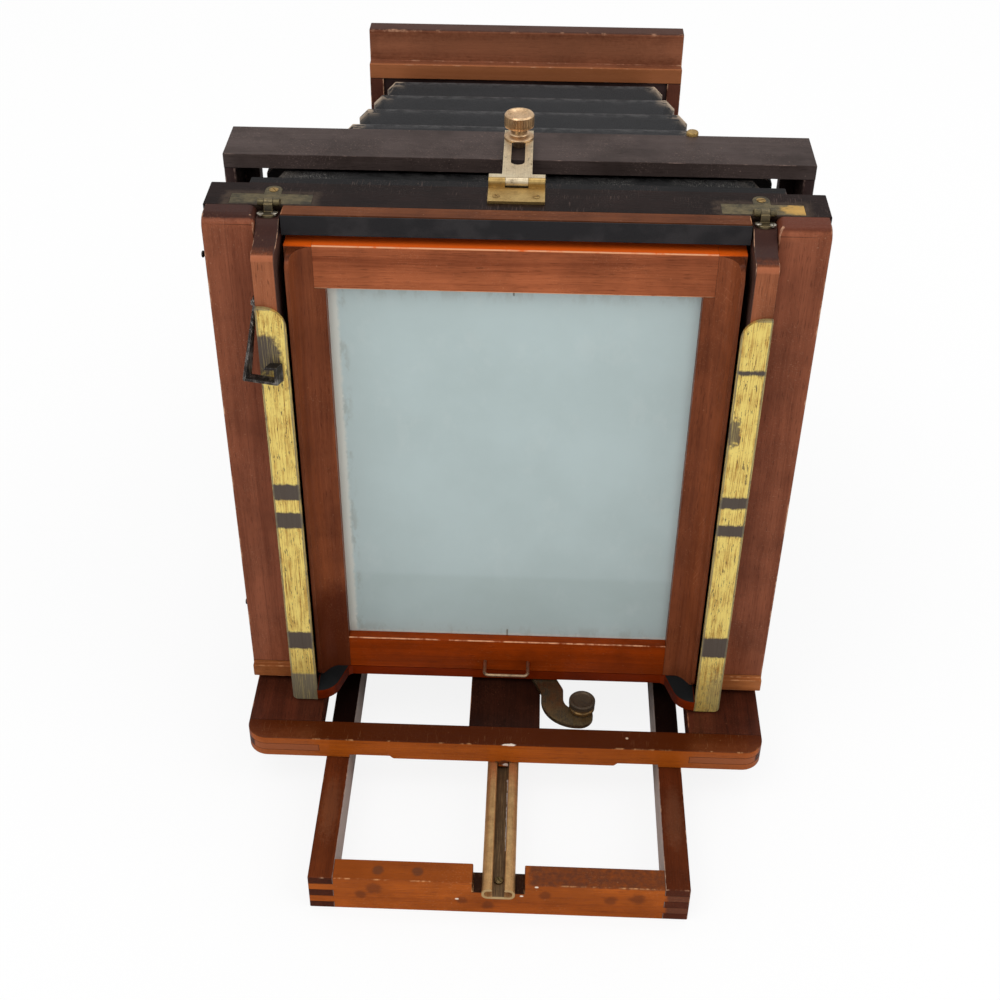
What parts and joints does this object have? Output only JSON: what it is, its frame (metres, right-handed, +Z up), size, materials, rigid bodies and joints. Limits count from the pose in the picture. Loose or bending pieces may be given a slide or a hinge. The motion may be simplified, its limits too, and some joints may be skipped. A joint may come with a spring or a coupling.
{
  "type": "wooden studio view camera",
  "caption": "Wooden plate camera with leather bellows between lens and tilting back, on an open bed with a brass track; brass-faced ground glass frame behind.",
  "frame": {"origin": "mouth of the stand bush's bore, in the middle of the bed's underside", "axes": "+X to the right seen from behind, +Y forwards along the lens axis, +Z up"},
  "size_m": [0.3256, 0.6298, 0.3884],
  "materials": {
    "mahogany": "worn satin varnish",
    "orange_wood": "worn satin varnish",
    "ebonised_wood": "worn matt stain",
    "bellows_leather": "pebbled leather with worn corners",
    "velvet": "short black velvet",
    "bright_brass": "lacquered, scratched",
    "aged_brass": "dull patina",
    "bronze": "brown patina",
    "steel": "dark, worn",
    "frosted_glass": "ground on one face",
    "clear_glass": "polished"
  },
  "bodies": {
    "bed": {"bed_rail_left": "mahogany", "bed_rail_right": "mahogany", "bed_rear_bar": "orange_wood", "bed_front_bar": "mahogany", "bed_middle_bar": "mahogany", "tripod_bush": "aged_brass", "track_channel": "aged_brass", "track_screws": "aged_brass", "front_leg_left": "mahogany", "front_leg_right": "mahogany", "front_top_rail": "mahogany", "front_throat_board": "ebonised_wood", "panel_guides": "mahogany"},
    "rising_front": {"rising_panel": "mahogany", "lens_board": "mahogany", "lens_flange": "bright_brass", "lens_barrel": "bright_brass", "lens_glasses": "clear_glass"},
    "panel_screw_left": {"panel_screw_left": "aged_brass"},
    "panel_screw_right": {"panel_screw_right": "aged_brass"},
    "carriage": {"carriage_rear_bar": "orange_wood", "carriage_wings": "ebonised_wood", "carriage_centre_board": "ebonised_wood", "carriage_front_bar": "mahogany", "clamp_bolt": "aged_brass", "hoop_legs": "ebonised_wood", "hoop_top_bar": "ebonised_wood", "bellows_collar": "ebonised_wood", "bellows_front": "bellows_leather", "tilt_hinge_leaves": "aged_brass"},
    "clamp_lever": {"clamp_lever": "bronze", "clamp_knob": "bronze"},
    "back": {"back_stile_left": "ebonised_wood", "back_stile_right": "ebonised_wood", "back_top_rail": "ebonised_wood", "back_bottom_rail": "ebonised_wood", "side_rail_left": "mahogany", "side_rail_right": "mahogany", "back_ledges": "orange_wood", "back_fillet": "mahogany", "back_velvet": "velvet", "hinge_plates": "aged_brass", "strap_base": "bright_brass", "bellows_rear": "bellows_leather", "tilt_hinge_knuckles": "aged_brass", "shelf": "orange_wood", "shelf_felts": "velvet"},
    "strap": {"slotted_strap": "bright_brass"},
    "top_thumbscrew": {"top_thumbscrew": "aged_brass"},
    "cradle": {"arm_left": "mahogany", "arm_right": "mahogany", "brass_strips": "bright_brass", "hinge_leaves": "aged_brass"},
    "screen": {"glass_stile_left": "mahogany", "glass_stile_right": "mahogany", "glass_rail_top": "mahogany", "glass_rail_bottom": "mahogany", "ground_glass": "frosted_glass", "pull_handle": "steel"},
    "latch": {"latch_hook": "steel"}
  },
  "joints": [
    {"name": "focus_slide", "type": "slide", "parent": "bed", "child": "carriage", "axis": [0, 1, 0], "range_m": [-0.085, 0.15], "deforming": ["bellows_front"]},
    {"name": "clamp_lever_turn", "type": "hinge", "parent": "carriage", "child": "clamp_lever", "pos_m": [0, -0.0864, 0.0442], "axis": [0, 0, 1], "range_deg": [-60, 2]},
    {"name": "back_tilt", "type": "hinge", "parent": "carriage", "child": "back", "pos_m": [0, -0.0994, 0.0454], "axis": [-1, 0, 0], "range_deg": [0, 4.5], "deforming": ["bellows_rear"]},
    {"name": "strap_hinge", "type": "hinge", "parent": "back", "child": "strap", "pos_m": [0, -0.1029, 0.3728], "axis": [-1, 0, 0], "range_deg": [-4.5, 0]},
    {"name": "top_thumbscrew_turn", "type": "hinge", "parent": "carriage", "child": "top_thumbscrew", "pos_m": [0, -0.0506, 0.38], "axis": [0, 0, 1], "continuous": true},
    {"name": "cradle_swing", "type": "hinge", "parent": "back", "child": "cradle", "pos_m": [0, -0.1292, 0.3715], "axis": [-1, 0, 0], "range_deg": [0, 95]},
    {"name": "screen_draw", "type": "slide", "parent": "cradle", "child": "screen", "axis": [0, -1, 0], "range_m": [0, 0.0145]},
    {"name": "latch_swing", "type": "hinge", "parent": "cradle", "child": "latch", "pos_m": [-0.1351, -0.1554, 0.327], "axis": [-1, 0, 0], "range_deg": [0, 100]},
    {"name": "front_rise", "type": "slide", "parent": "bed", "child": "rising_front", "axis": [0, 0, 1], "range_m": [-0.01, 0.04]},
    {"name": "panel_screw_left_turn", "type": "hinge", "parent": "bed", "child": "panel_screw_left", "pos_m": [-0.1093, 0.2751, 0.2805], "axis": [0, 1, 0], "continuous": true},
    {"name": "panel_screw_right_turn", "type": "hinge", "parent": "bed", "child": "panel_screw_right", "pos_m": [0.1093, 0.2751, 0.2805], "axis": [0, 1, 0], "continuous": true}
  ],
  "couplings": [
    {"joint": "strap_hinge", "follows": "back_tilt", "ratio": -1}
  ]
}
